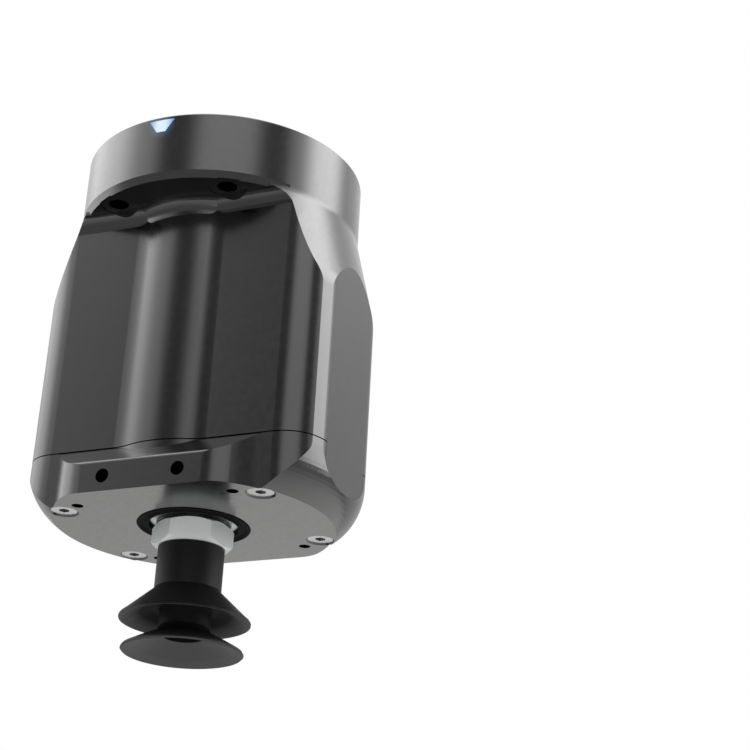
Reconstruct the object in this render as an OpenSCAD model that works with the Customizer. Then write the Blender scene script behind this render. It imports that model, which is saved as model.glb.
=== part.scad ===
// Electric vacuum gripper for a robot wrist, with one bellows suction cup.
// Millimetres. The origin is the centre of the robot-side face, +Z points to the robot,
// -Y is the front with the status light, and everything hangs below the origin.

/* [Head] */
// Diameter of the turned head
head_d = 75; // [72:0.5:76]
// Depth of the recess roof below the robot-side face
roof_h = 18.7; // [17:0.1:21]
// Radial width of the bevel under the head's rim
rim_bevel_w = 1.0; // [0.4:0.1:1.6]
// Axial height of the bevel under the head's rim
rim_bevel_h = 1.8; // [0.8:0.1:2.4]
// Break on the head's top edge
top_edge = 0.5; // [0.2:0.1:1]

/* [Body] */
// Width between the two side flats
body_w = 82; // [81:0.2:83]
// Depth between the front and rear panels
body_d = 43.4; // [42:0.2:46]
// Radius of the four upright corners
corner_r = 10; // [9:0.5:12]
// Hollow blend between a panel and the column
column_blend_r = 13; // [8:1:16]
// Fillet under the recess roof
roof_fillet_r = 4; // [2:0.5:5]
// Slope of the flare from head to body, measured from upright
flare_angle = 13.5; // [11:0.5:15]
// Hollow blend where the flare leaves the head
flare_foot_r = 8; // [4:1:12]
// Rounding where the flare reaches the body
flare_top_r = 20; // [10:1:24]
// Depth of the flare's start below the robot-side face
flare_start_h = 17.2; // [16:0.1:18]
// How far the turned body stands out beyond the side flats
belly_out = 2; // [1.6:0.1:3]
// Wall of the hollow housing
wall = 3.2; // [2.4:0.1:3.6]
// Wall left between the hollow and the flare
flare_wall = 2.4; // [2:0.1:2.6]
// Thickness left above the hollow, under the recess roof
roof_t = 5.3; // [4:0.1:8]

/* [End cap] */
// Height of the whole body
body_h = 99.7; // [97:0.1:106]
// Height of the end cap
cap_h = 14.5; // [13.5:0.1:16]
// Groove left between housing and cap
seam_gap = 0.3; // [0.2:0.05:0.6]
// Distance of the gasket from the outer surface
gasket_inset = 0.6; // [0.4:0.1:1]
// Radius of the cap's turned bottom edge
bottom_round_r = 15; // [13:0.5:16]
// Height of the centre of that rounding above the bottom face
bottom_round_up = 12.5; // [12:0.1:13.2]
// Radius of the tool boss
boss_r = 35.7; // [34:0.1:36]
// Depth between the boss's front and rear faces
boss_d = 59.2; // [56:0.2:62]
// Upright corner radius of the boss
boss_corner_r = 10; // [6:0.5:12]
// Height of the boss's front face
boss_face_h = 7.4; // [7:0.1:8]
// Thickness of the side tongues that cover the seam on the flats
tongue_t = 3.0; // [2:0.1:3.2]

/* [Holes] */
// Robot screw holes, spacing across the width
robot_hole_x = 31.8; // [30:0.2:34]
// Robot screw holes, distance in from the head's front and rear edge
robot_hole_in = 9.4; // [8.6:0.1:10]
// Robot screw hole diameter
robot_hole_d = 5.2; // [4.5:0.1:6]
// Spot face around each robot screw hole
spot_face_d = 10; // [9:0.5:11]
// Depth of the spot face into the recess roof
spot_face_depth = 0.2; // [0.1:0.1:0.5]
// Dowel hole diameter in the robot-side face
dowel_d = 6; // [4:0.5:6]
// Distance of the dowel hole from the centre
dowel_r = 25; // [22:0.5:29]
// Dowel hole depth
dowel_depth = 6; // [4:0.5:8]
// Distance of the cap screws in from the side flats
cap_screw_in = 13.7; // [13:0.1:14]
// Distance of the cap screws in from the front and rear panels
cap_screw_panel_in = 3.6; // [3.4:0.1:4.2]
// Cap screw head diameter
cap_screw_head_d = 6.6; // [6.2:0.1:7]
// Depth of the cap screw heads below the bottom face
cap_screw_sink = 0.4; // [0.2:0.05:0.6]
// Cap screw shank diameter
cap_screw_d = 4; // [3:0.5:4]
// Circle of the tooling holes in the bottom face
tool_pcd = 60.6; // [58:0.2:62]
// Tooling hole diameter
tool_hole_d = 3; // [2:0.1:3.4]
// Tooling hole depth
tool_hole_depth = 7; // [4:0.5:8]
// Spacing of the accessory holes in the boss's front face
accessory_x = 20.6; // [16:0.2:21]
// Spacing of the exhaust ports in the boss's rear face
exhaust_x = 24; // [22.4:0.2:26]
// Diameter of the accessory holes and exhaust ports
accessory_d = 3.6; // [3.3:0.1:4]
// Depth of the accessory holes and exhaust ports
accessory_depth = 7; // [5:0.5:8]
// Height of the accessory holes and exhaust ports above the bottom face
accessory_up = 4; // [3.4:0.1:4.4]
// Diameter of the silencer plugs behind the exhaust ports
silencer_d = 3; // [2.6:0.1:3]

/* [Status light and contacts] */
// Width of the light window at its top
window_top_w = 7.2; // [5:0.2:9]
// Width of the light window at its bottom
window_bottom_w = 2.4; // [1.6:0.2:4]
// Height of the light window
window_h = 3.4; // [2.4:0.2:4]
// Depth of the window's top edge below the robot-side face
window_drop = 1.2; // [1:0.1:1.6]
// Diameter of the contact pocket in the robot-side face
contact_pocket_d = 30; // [28:0.5:34]
// Depth of the contact pocket
contact_pocket_depth = 6.5; // [6:0.1:7.5]
// Thickness of the circuit boards
board_t = 1.6; // [1:0.1:2]
// Number of contact pads
pad_count = 8; // [6:1:10]

/* [Motor] */
// Motor can diameter
motor_d = 34; // [32:0.5:35]
// Length of the motor can
motor_len = 25; // [24:0.5:26]
// Wall of the motor can
motor_wall = 1.2; // [0.8:0.1:1.6]
// Space between the hollow's roof and the motor
motor_gap = 2.2; // [2:0.1:3]
// Shaft diameter
shaft_d = 3; // [2.5:0.1:4]
// Outer diameter of the motor's ball bearings
bearing_d = 9; // [8:0.5:10]
// Width of the motor's ball bearings
bearing_w = 3; // [2.5:0.1:3.2]
// Rotor magnet diameter
rotor_d = 16; // [14:0.5:17]
// Air gap between rotor and stator teeth
air_gap = 0.4; // [0.3:0.05:0.6]
// Number of stator teeth
tooth_count = 9; // [6:3:9]

/* [Pump] */
// Outer diameter of the pump stack
pump_d = 39; // [38:0.5:44]
// Room for the damping rings between the pump stack and the housing
damping_gap = 1.3; // [1:0.1:1.6]
// Height of the crank case
case_h = 14; // [13.5:0.5:14.5]
// Tilt of the crank pin
wobble_tilt = 7; // [5:0.5:8]
// Crank pin diameter
crank_pin_d = 2.5; // [2:0.1:3]
// Distance of the diaphragm cups from the axis
cup_circle_r = 10.5; // [10:0.25:11]
// Number of diaphragm cups
pump_cups = 3; // [3:1:4]
// Thickness of the valve plate
valve_plate_t = 3; // [2.5:0.1:3.5]
// Height of the pump head
pump_head_h = 6; // [5.5:0.1:6.5]
// Diameter of the bore in the pump's inlet spigot
inlet_d = 4; // [3:0.1:5]

/* [Release valve] */
// Coil diameter
coil_d = 13; // [12:0.5:14]
// Plunger diameter
plunger_d = 5; // [4:0.1:5.5]
// Plunger travel
plunger_travel = 1.5; // [1:0.1:2]

/* [Suction cup] */
// Across-flats size of the hex fitting
hex_af = 18; // [17:0.5:19]
// Height of the hex
hex_h = 5.8; // [5:0.1:7]
// Turn at which the hex has come tight
hex_turn = 24; // [0:1:59]
// Bore through the fitting
fitting_bore_d = 6; // [4:0.5:7]
// Outer diameter of the face seal
seal_d = 29.1; // [28:0.1:30]
// Width of the face seal
seal_w = 3.1; // [2.5:0.1:3.2]
// Diameter of the cup's neck
neck_d = 16.9; // [16:0.1:18]
// Height of the cup's neck
neck_h = 11; // [10:0.1:13]
// Diameter of the upper fold
fold_d = 33; // [31:0.2:35]
// Height of the upper fold
fold_h = 8; // [7:0.1:9]
// Diameter of the waist between fold and lip
waist_d = 12.8; // [12:0.1:14]
// Diameter of the lip
lip_d = 30.6; // [29:0.2:32]
// Height of the whole lip
lip_h = 8; // [7.5:0.1:9]
// Rubber thickness
rubber_t = 1.3; // [1:0.1:1.5]
// How far the lip can be pushed up
cup_travel = 5; // [3:0.5:5.5]

/* [Clearances] */
// Gap at static seats
seat_gap = 0.1; // [0.05:0.05:0.15]
// Radial running clearance
run_gap = 0.05; // [0.03:0.01:0.08]

/* [Hidden] */
$fn = 96;
eps = 0.01;

head_r = head_d / 2;
half_w = body_w / 2;
half_d = body_d / 2;
// Largest turned radius of the body
belly_r = half_w + belly_out;

// Robot screw holes, spacing front to rear
robot_hole_y = head_d - 2 * robot_hole_in;

// Cap screws, spacing across the width and front to rear
cap_screw_x = body_w - 2 * cap_screw_in;
cap_screw_y = body_d - 2 * cap_screw_panel_in;
// Mouth of the countersinks around the cap screws
sink_mouth_d = cap_screw_head_d + 2 * (cap_screw_sink + seat_gap);

// Levels, all below the robot-side face
roof_z = -roof_h;
bottom_z = -body_h;
seam_z = -(body_h - cap_h);
housing_end_z = seam_z + seam_gap / 2;
cap_top_z = seam_z - seam_gap / 2;
hollow_z = roof_z - roof_t;
// The body runs up into the head to this level, so the rim bevel shows only over the recess
join_z = roof_z + rim_bevel_h + 4;
// How far a fillet's arc starts inside the faces it joins
fillet_sink = 0.03;

// The round column wraps the pump stack, its damping rings and the wall
pump_r = pump_d / 2;
column_r = pump_r + damping_gap + wall;
// Column blend: centre of the hollow arc between a panel and the column
blend_y = half_d + column_blend_r;
blend_x = sqrt(pow(column_r + column_blend_r, 2) - pow(blend_y, 2));

// Flare: the straight cone runs from the foot blend to the top blend
cone_start_r = head_r + flare_foot_r * (1 - cos(flare_angle));
cone_start_z = -flare_start_h - flare_foot_r * sin(flare_angle);
cone_end_r = belly_r - flare_top_r * (1 - cos(flare_angle));
cone_end_z = cone_start_z - (cone_end_r - cone_start_r) / tan(flare_angle);
flare_end_z = cone_end_z - flare_top_r * sin(flare_angle);

// Bottom rounding of the turned body
bottom_arc_z = bottom_z + bottom_round_up;
bottom_arc_r = belly_r - bottom_round_r;
bottom_arc_end = asin(bottom_round_up / bottom_round_r);

// Motor and pump stack, from the top down
motor_top_z = hollow_z - motor_gap;
motor_end_z = motor_top_z - motor_len;
bell_t = 4;
bell_end_z = motor_end_z - bell_t;
case_end_z = bell_end_z - case_h;
valve_plate_end_z = case_end_z - valve_plate_t;
pump_end_z = valve_plate_end_z - pump_head_h;
case_wall = 3.8;
pump_screw_r = pump_r - case_wall / 2;
pump_screw_d = 2;
crank_r = 6;
crank_h = 4.5;
crank_top_z = bell_end_z - 0.6;
crank_end_z = crank_top_z - crank_h;
// Length of the shaft's and the pin's seats in the crank
crank_seat = crank_h / 2;
// The tilted pin aims at this point on the axis
wobble_centre_z = bell_end_z - 8.2;
plate_t = 1.8;
cup_r = 3.4;
diaphragm_t = 1;

// Release valve, midway between pump and side wall, standing on the cap
valve_x = (pump_r + half_w - wall) / 2;
valve_body_h = 13;
valve_body_w = 13;
valve_seat_z = cap_top_z + valve_body_h;
coil_h = 14;
coil_top_z = valve_seat_z + coil_h;
plunger_len = 9;
core_len = 3.5;
spring_wire = 0.5;

// Control board in its card guides
card_x = half_w - wall - 7.8;
card_w = 35.6;
card_top_z = hollow_z - 6;
card_slot = 0.8;

// Cup levels
fitting_top_z = bottom_z - 0.3;
hex_end_z = fitting_top_z - hex_h;
neck_end_z = hex_end_z - neck_h;
fold_end_z = neck_end_z - fold_h;
cup_end_z = fold_end_z - lip_h;
waist_z = fold_end_z - 1.6;
nipple_r = neck_d / 2 - 2.6;

// Points on an arc, for turned outlines
function arc(cx, cy, r, from, to, n = 8) =
    [for (i = [0:n]) let (a = from + (to - from) * i / n) [cx + r * cos(a), cy + r * sin(a)]];

// Put the children in all four corners
module four() {
    for (sx = [0, 1], sy = [0, 1])
        mirror([sx, 0, 0]) mirror([0, sy, 0]) children();
}

module rounded_rect(w, d, r) {
    square([w, d - 2 * r], center = true);
    square([w - 2 * r, d], center = true);
    for (sx = [-1, 1], sy = [-1, 1])
        translate([sx * (w / 2 - r), sy * (d / 2 - r)]) circle(r);
}

// Fills the hollow corner between a panel and the column
module column_blend(inset) {
    k = (column_r - inset) / (column_r + column_blend_r);
    difference() {
        polygon([[0, 0], [blend_x, 0], [blend_x, half_d - inset], [k * blend_x, k * blend_y]]);
        translate([blend_x, blend_y]) circle(column_blend_r + inset);
    }
}

// Outline of the body, set in by inset
module body_outline(inset = 0) {
    rounded_rect(body_w - 2 * inset, body_d - 2 * inset, corner_r - inset);
    circle(column_r - inset);
    for (sx = [0, 1], sy = [0, 1])
        mirror([sx, 0]) mirror([0, sy]) column_blend(inset);
}

// Outline of the tool boss: a circle cut by two flats, corners rounded
module boss_outline() {
    cy = boss_d / 2 - boss_corner_r;
    cx = sqrt(pow(boss_r - boss_corner_r, 2) - cy * cy);
    k = boss_r / (boss_r - boss_corner_r);
    difference() {
        intersection() {
            circle(boss_r);
            square([2 * boss_r, boss_d], center = true);
        }
        for (sx = [0, 1], sy = [0, 1])
            mirror([sx, 0]) mirror([0, sy])
                polygon([[cx, cy], [cx, boss_d], [k * cx + boss_d, boss_d], [k * cx, k * cy]]);
    }
    for (sx = [-1, 1], sy = [-1, 1])
        translate([sx * cx, sy * cy]) circle(boss_corner_r);
}

// Turned outer form from the head to the bottom face, thinned by inset
module turned(inset = 0) {
    rotate_extrude()
        polygon(concat(
            [[0, 0], [head_r - inset - top_edge, 0], [head_r - inset, -top_edge]],
            [for (p = arc(head_r + flare_foot_r, -flare_start_h, flare_foot_r, 180, 180 + flare_angle, 5))
                [p[0] - inset, p[1]]],
            [for (p = arc(belly_r - flare_top_r, flare_end_z, flare_top_r, flare_angle, 0))
                [p[0] - inset, p[1]]],
            [for (p = arc(bottom_arc_r, bottom_arc_z, bottom_round_r, 0, -bottom_arc_end, 14))
                [p[0] - inset, p[1]]],
            [[0, bottom_z]]
        ));
}

// The head with its bevelled lower rim
module head() {
    rotate_extrude()
        polygon([[0, 0], [head_r - top_edge, 0], [head_r, -top_edge],
            [head_r, roof_z + rim_bevel_h], [head_r - rim_bevel_w, roof_z], [0, roof_z]]);
}

// Section of a hollow fillet that starts a hair inside the wall and the roof it joins
module fillet_section(r) {
    difference() {
        translate([-1, 0]) square(r + 1);
        translate([r - fillet_sink, fillet_sink]) circle(r);
    }
}

// Fillets under the recess roof, along both panels and around the column
module roof_fillets() {
    f = roof_fillet_r;
    run = half_w - corner_r + 1;
    for (s = [0, 1]) mirror([0, s, 0]) translate([-run, half_d, roof_z - f])
        rotate([90, 0, 90]) linear_extrude(2 * run) fillet_section(f);
    translate([0, 0, roof_z - f]) rotate_extrude() translate([column_r, 0]) fillet_section(f);
}

// Outline of a side flat below the seam, as seen along X
function flat_half(z) =
    let (r = bottom_arc_r + sqrt(pow(bottom_round_r, 2) - pow(min(0, z - bottom_arc_z), 2)))
    sqrt(max(0, r * r - half_w * half_w));
flat_apex_z = bottom_arc_z - sqrt(pow(bottom_round_r, 2) - pow(half_w - bottom_arc_r, 2));
// The flat meets the corner rounding here
flat_edge = half_d - corner_r;

// Tongue that carries each side flat down over the cap, grown by gap
module side_tongues(gap = 0) {
    steps = 10;
    side = [for (i = [0:steps])
        let (z = flat_apex_z + (bottom_arc_z - flat_apex_z) * pow(i / steps, 2))
        [min(flat_edge, flat_half(z)) + gap, z - (i == 0 ? gap : 0)]];
    points = concat(side, [[flat_edge + gap, housing_end_z + 1]]);
    for (s = [0, 1]) mirror([s, 0, 0])
        translate([half_w - tongue_t - gap, 0, 0]) rotate([90, 0, 90])
            linear_extrude(tongue_t + gap + eps)
                polygon(concat(points, [for (i = [len(points) - 1:-1:0]) [-points[i][0], points[i][1]]]));
}

module housing_outside() {
    head();
    intersection() {
        turned();
        union() {
            translate([0, 0, housing_end_z])
                linear_extrude(join_z - housing_end_z) body_outline();
            roof_fillets();
            side_tongues();
        }
    }
}

module cap_screw_places() {
    four() translate([cap_screw_x / 2, cap_screw_y / 2, 0]) children();
}

// Window outline of the status light, as seen from the front
module window_outline(gap = 0) {
    top = -window_drop + gap;
    polygon([[-window_top_w / 2 - gap, top], [window_top_w / 2 + gap, top],
        [window_bottom_w / 2 + gap, top - window_h - 2 * gap],
        [-window_bottom_w / 2 - gap, top - window_h - 2 * gap]]);
}

module main_housing() {
    color("#4a4b4d") difference() {
        housing_outside();
        // hollow, with a screw column left in each corner
        difference() {
            intersection() {
                translate([0, 0, housing_end_z - 1])
                    linear_extrude(hollow_z - housing_end_z + 1) body_outline(wall);
                turned(flare_wall);
            }
            cap_screw_places() translate([0, 0, housing_end_z - 2])
                cylinder(d = cap_screw_d + 5, h = hollow_z - housing_end_z + 3);
        }
        cap_screw_places() translate([0, 0, housing_end_z - eps])
            cylinder(d = cap_screw_d + 2 * seat_gap, h = 12);
        // card guides for the control board
        translate([card_x - seat_gap, -card_w / 2 - seat_gap, housing_end_z - 1])
            cube([board_t + 2 * seat_gap, card_w + 2 * seat_gap,
                card_top_z - housing_end_z + 1 + seat_gap]);
        // robot screws and their spot faces
        four() translate([robot_hole_x / 2, robot_hole_y / 2, 0]) {
            translate([0, 0, roof_z - 1]) cylinder(d = robot_hole_d, h = roof_h + 2);
            translate([0, 0, roof_z - 20]) cylinder(d = spot_face_d, h = 20 + spot_face_depth);
        }
        // contact pocket, cable way and dowel hole
        translate([0, 0, -contact_pocket_depth]) cylinder(d = contact_pocket_d, h = contact_pocket_depth + 1);
        translate([contact_pocket_d / 2 - 4, 0, hollow_z - 1])
            cylinder(d = 4, h = -hollow_z);
        translate([0, dowel_r, -dowel_depth]) cylinder(d = dowel_d, h = dowel_depth + 1);
        // way for the light guide
        translate([0, -contact_pocket_d / 2 + 1, 0]) rotate([90, 0, 0])
            linear_extrude(head_r) window_outline(seat_gap);
    }
}

module cap_outside() {
    intersection() {
        turned();
        translate([0, 0, bottom_z - 1]) linear_extrude(cap_top_z - bottom_z + 1) body_outline();
    }
    // tool boss with its sloping shoulder
    intersection() {
        translate([0, 0, bottom_z]) linear_extrude(cap_top_z - bottom_z) boss_outline();
        rotate([90, 0, 90]) linear_extrude(2 * boss_r, center = true)
            polygon(concat(
                [[boss_d / 2, bottom_z]],
                arc(boss_d / 2 - 1, bottom_z + boss_face_h, 1, 0, 50, 3),
                [[half_d, cap_top_z], [-half_d, cap_top_z]],
                arc(1 - boss_d / 2, bottom_z + boss_face_h, 1, 130, 180, 3),
                [[-boss_d / 2, bottom_z]]
            ));
    }
}

filter_d = 18;
filter_bay_z = bottom_z + 7;
insert_d = 22.4;
insert_t = 1.2;
insert_bore = 13.2;
inlet_spigot_d = inlet_d + 4;
spigot_end_z = cap_top_z - 2.4;
sensor_x = card_x - 4;
sensor_base_z = cap_top_z + 5.35;
// The sensor fills the space between the board and the pump
sensor_t = card_x - pump_r - 3;
side_way_z = bottom_z + 9.2;
accessory_z = bottom_z + accessory_up;
// The exhaust ways come up inside the housing's wall
exhaust_way_y = half_d - wall - 2.5;
silencer_len = 2.6;

module end_cap() {
    color("#47484a") difference() {
        cap_outside();
        side_tongues(seat_gap);
        // seat of the pump's inlet spigot, filter bay and port
        translate([0, 0, spigot_end_z - seat_gap]) cylinder(d = inlet_spigot_d + 5, h = 10);
        translate([0, 0, filter_bay_z])
            cylinder(d = filter_d + 2 * seat_gap, h = spigot_end_z - filter_bay_z);
        translate([0, 0, bottom_z - 1])
            cylinder(d = insert_bore + 3 + 2 * seat_gap, h = filter_bay_z - bottom_z + 1 + eps);
        // face groove for the seal and seat of the port insert
        translate([0, 0, bottom_z - eps]) cylinder(d = seal_d, h = 2);
        // side ways from the filter bay to release valve and pressure sensor
        translate([-valve_x, 0, side_way_z]) rotate([0, 90, 0]) cylinder(d = 2.4, h = valve_x + sensor_x);
        translate([-valve_x, 0, side_way_z]) cylinder(d = 2.4, h = 20);
        translate([sensor_x, 0, side_way_z]) cylinder(d = 2.4, h = 20);
        cap_screw_places() translate([0, 0, bottom_z]) {
            translate([0, 0, -1]) cylinder(d = cap_screw_d + 0.4, h = cap_h + 2);
            translate([0, 0, -eps])
                cylinder(d1 = sink_mouth_d, d2 = cap_screw_d + 0.4,
                    h = (sink_mouth_d - cap_screw_d) / 2 - 0.2);
        }
        for (a = [45:90:315]) rotate(a) translate([tool_pcd / 2, 0, bottom_z - 1])
            cylinder(d = tool_hole_d, h = tool_hole_depth + 1);
        for (sx = [-1, 1]) translate([sx * accessory_x / 2, accessory_depth - boss_d / 2, accessory_z])
            rotate([90, 0, 0]) cylinder(d = accessory_d, h = accessory_depth + 1);
        // exhaust ports, with a silencer bore behind each and a way up into the housing
        for (sx = [-1, 1]) translate([sx * exhaust_x / 2, 0, accessory_z]) {
            translate([0, boss_d / 2 - accessory_depth, 0]) rotate([-90, 0, 0])
                cylinder(d = accessory_d, h = accessory_depth + 1);
            translate([0, exhaust_way_y, 0]) rotate([-90, 0, 0])
                cylinder(d = silencer_d, h = boss_d / 2 - accessory_depth - exhaust_way_y + 0.1);
            translate([0, exhaust_way_y, 0]) cylinder(d = 2.4, h = cap_h);
        }
    }
}

module cap_gasket() {
    color("#161616") difference() {
        translate([0, 0, cap_top_z]) linear_extrude(seam_gap) body_outline(gasket_inset);
        translate([0, 0, cap_top_z - 1]) linear_extrude(seam_gap + 2) body_outline(wall - 0.2);
        side_tongues(seat_gap);
        cap_screw_places() translate([0, 0, cap_top_z - 1])
            cylinder(d = cap_screw_d + 2 * seat_gap, h = seam_gap + 2);
    }
}

module cap_screws() {
    head_h = (cap_screw_head_d - cap_screw_d) / 2;
    color("#c9cbcc") cap_screw_places() difference() {
        translate([0, 0, bottom_z + cap_screw_sink]) {
            cylinder(d1 = cap_screw_head_d, d2 = cap_screw_d, h = head_h);
            cylinder(d = cap_screw_d, h = cap_h + 10 - cap_screw_sink);
        }
        translate([0, 0, bottom_z - 1]) cylinder(d = 2.9, h = 2.2 + cap_screw_sink, $fn = 6);
    }
}

module face_seal() {
    color("#101010") translate([0, 0, bottom_z - 0.2]) difference() {
        cylinder(d = seal_d - 0.3, h = 2);
        translate([0, 0, -1]) cylinder(d = seal_d - 2 * seal_w, h = 4);
        // shallow dish in the sealing lip
        translate([0, 0, -0.6]) rotate_extrude()
            translate([(seal_d - seal_w) / 2 - 0.1, 0]) circle(1.1, $fn = 32);
    }
}

module port_insert() {
    color("#b9bbbd") difference() {
        union() {
            translate([0, 0, bottom_z + 2 - insert_t]) cylinder(d = insert_d, h = insert_t - 0.02);
            translate([0, 0, bottom_z + 1])
                cylinder(d = insert_bore + 3, h = filter_bay_z - bottom_z - 1.2);
            translate([0, 0, bottom_z]) cylinder(d = insert_d - 3.2, h = 2 - insert_t / 2);
        }
        translate([0, 0, bottom_z - 1]) cylinder(d = insert_bore, h = 12);
    }
}

module port_fitting() {
    stem_r = insert_bore / 2 - seat_gap;
    across = hex_af / cos(30);
    color("#c4c6c8") difference() {
        union() {
            translate([0, 0, fitting_top_z - eps])
                cylinder(r = stem_r, h = filter_bay_z - fitting_top_z - 0.4);
            // hex with both ends chamfered on the turned blank
            intersection() {
                translate([0, 0, hex_end_z]) rotate(hex_turn) cylinder(d = across, h = hex_h, $fn = 6);
                rotate_extrude() polygon([[0, hex_end_z], [hex_af / 2 - 0.2, hex_end_z],
                    [across / 2 + 0.3, hex_end_z + 1.3], [across / 2 + 0.3, fitting_top_z - 1.1],
                    [hex_af / 2, fitting_top_z], [0, fitting_top_z]]);
            }
            translate([0, 0, hex_end_z - neck_h + 3]) cylinder(r = nipple_r, h = neck_h);
            // barbs that hold the cup
            for (i = [0:1]) translate([0, 0, hex_end_z - 6.6 + 2.6 * i])
                cylinder(r1 = nipple_r, r2 = nipple_r + 0.5, h = 1.6);
        }
        translate([0, 0, hex_end_z - neck_h]) cylinder(d = fitting_bore_d, h = 40);
    }
}

module inlet_filter() {
    color("#d9d7cf") translate([0, 0, filter_bay_z]) cylinder(d = filter_d - seat_gap, h = 1.6);
}

// Suction cup, turned about the axis

module cup_neck() {
    color("#1a1a1b") difference() {
        translate([0, 0, neck_end_z]) cylinder(d = neck_d, h = neck_h - 0.1);
        translate([0, 0, neck_end_z - 1]) cylinder(r = nipple_r + 0.5 + seat_gap, h = neck_h + 2);
    }
}

// Upper fold: a cone out to a thin rim, then a dished underside back to the waist
module cup_bellows() {
    r0 = neck_d / 2 - 0.05;
    r1 = fold_d / 2;
    top = neck_end_z - 0.02;
    color("#19191a") rotate_extrude()
        polygon([
            [r0 - rubber_t * 1.6, top], [r0, top],
            [r1 - 0.5, fold_end_z + 0.9], [r1, fold_end_z + 0.4], [r1, fold_end_z - 0.1],
            [waist_d / 2 + 1.2, fold_end_z - 0.4 + 1.8], [waist_d / 2, waist_z],
            [waist_d / 2 - rubber_t, waist_z], [waist_d / 2 - rubber_t, fold_end_z + 2.2],
            [r1 - 2.6, fold_end_z + 1.1], [r0 - rubber_t * 1.6, top - rubber_t * 1.4]
        ]);
}

// Lip: a flatter cone that opens to the sealing edge
module cup_lip() {
    r1 = lip_d / 2;
    top = waist_z - 0.02;
    color("#151516") rotate_extrude()
        polygon([
            [waist_d / 2 - rubber_t, top], [waist_d / 2, top], [waist_d / 2 + 0.5, top - 1.2],
            [r1 - 3, cup_end_z + 2.4], [r1 - 0.3, cup_end_z + 0.9],
            [r1, cup_end_z + 0.4], [r1 - 0.4, cup_end_z],
            [r1 - 3.6, cup_end_z + 1.1], [waist_d / 2 - rubber_t, top - 2.2]
        ]);
}

board_z = -contact_pocket_depth;

module light_guide() {
    color("#dff0ff") intersection() {
        cylinder(r = head_r, h = 40, center = true);
        translate([0, -contact_pocket_d / 2 - 0.3, 0]) rotate([90, 0, 0])
            linear_extrude(head_r) window_outline();
    }
}

module status_led() {
    color("#f4f4ee") translate([-1.5, -contact_pocket_d / 2 + 0.9, board_z + board_t])
        cube([3, 1.6, 3]);
}

module contact_board() {
    color("#20492c") translate([0, 0, board_z]) cylinder(d = contact_pocket_d - 0.4, h = board_t);
}

module contact_pads() {
    color("#d2a94a") for (i = [0:pad_count - 1]) rotate(90 + 360 / pad_count * (i + 0.5))
        translate([8.5, 0, board_z + board_t])
            cylinder(d = 3, h = contact_pocket_depth - board_t - 0.8, $fn = 48);
}

module signal_harness() {
    x = contact_pocket_d / 2 - 4;
    color("#2b2b2d") {
        translate([x, 0, hollow_z - 1.2]) cylinder(d = 1.8, h = board_z - hollow_z + 1.2, $fn = 32);
        translate([x, 0, hollow_z - 1.2]) sphere(d = 1.8, $fn = 32);
        translate([x, 0, hollow_z - 1.2]) rotate([0, 90, 0])
            cylinder(d = 1.8, h = card_x - x - 2.4, $fn = 32);
        translate([card_x - 2.4, 0, hollow_z - 1.2]) sphere(d = 1.8, $fn = 32);
        translate([card_x - 2.4, 0, card_top_z - 3.4])
            cylinder(d = 1.8, h = hollow_z - 1.2 - card_top_z + 3.4, $fn = 32);
    }
}

bearing_top_z = motor_top_z - 1.2;
bearing_low_z = bell_end_z + 0.6;
motor_roof = bearing_w + 1.2;
stator_top_z = motor_top_z - motor_roof - 2.2;
stator_len = motor_len - 12;
stator_r = motor_d / 2 - motor_wall - seat_gap;
tooth_r = rotor_d / 2 + air_gap;

module motor_can() {
    color("#8b8d90") difference() {
        translate([0, 0, motor_end_z]) cylinder(d = motor_d, h = motor_len);
        translate([0, 0, motor_end_z - 1])
            cylinder(d = motor_d - 2 * motor_wall, h = motor_len - motor_roof + 1);
        translate([0, 0, bearing_top_z - bearing_w]) cylinder(d = bearing_d, h = bearing_w);
    }
    // foot that meets the roof of the hollow
    color("#8b8d90") translate([0, 0, motor_top_z]) difference() {
        cylinder(d = 12, h = motor_gap);
        translate([0, 0, -1]) cylinder(d = 8, h = motor_gap + 2);
    }
}

module motor_bell() {
    color("#9a9ca0") difference() {
        translate([0, 0, bell_end_z]) cylinder(r = pump_r, h = bell_t);
        translate([0, 0, bearing_low_z]) cylinder(d = bearing_d, h = bell_t);
        translate([0, 0, bell_end_z - 1]) cylinder(d = shaft_d + 2, h = bell_t);
        for (i = [0:2]) rotate(90 + 120 * i) translate([pump_screw_r, 0, bell_end_z - 1])
            cylinder(d = pump_screw_d + 2 * seat_gap, h = bell_t - 0.4, $fn = 32);
    }
}

module motor_stator() {
    color("#5b5d61") translate([0, 0, stator_top_z - stator_len]) linear_extrude(stator_len) {
        difference() {
            circle(stator_r);
            circle(stator_r - 2);
        }
        difference() {
            for (i = [0:tooth_count - 1]) rotate(360 / tooth_count * i) {
                translate([tooth_r - 1, -1]) square([stator_r - tooth_r, 2]);
                translate([tooth_r - 1, -2]) square([2.2, 4]);
            }
            circle(tooth_r);
        }
    }
}

module motor_coils() {
    inner = tooth_r + 1.5;
    outer = stator_r - 2.2;
    color("#b8632e") for (i = [0:tooth_count - 1]) rotate(360 / tooth_count * i)
        translate([inner, 0, stator_top_z - stator_len / 2]) difference() {
            translate([0, -1.75, -stator_len / 2 - 1.5]) cube([outer - inner, 3.5, stator_len + 3]);
            translate([-1, -1.05, -stator_len / 2 - 0.05]) cube([outer - inner + 2, 2.1, stator_len + 0.1]);
        }
}

module rotor_magnet() {
    color("#3a3c40") translate([0, 0, stator_top_z - stator_len - 0.5]) difference() {
        cylinder(d = rotor_d, h = stator_len + 1);
        translate([0, 0, -1]) cylinder(d = shaft_d + 0.04, h = stator_len + 3);
    }
}

module motor_shaft() {
    color("#c8cacc") translate([0, 0, crank_top_z - crank_seat + 0.2])
        cylinder(d = shaft_d, h = bearing_top_z - crank_top_z + crank_seat - 0.4);
}

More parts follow.
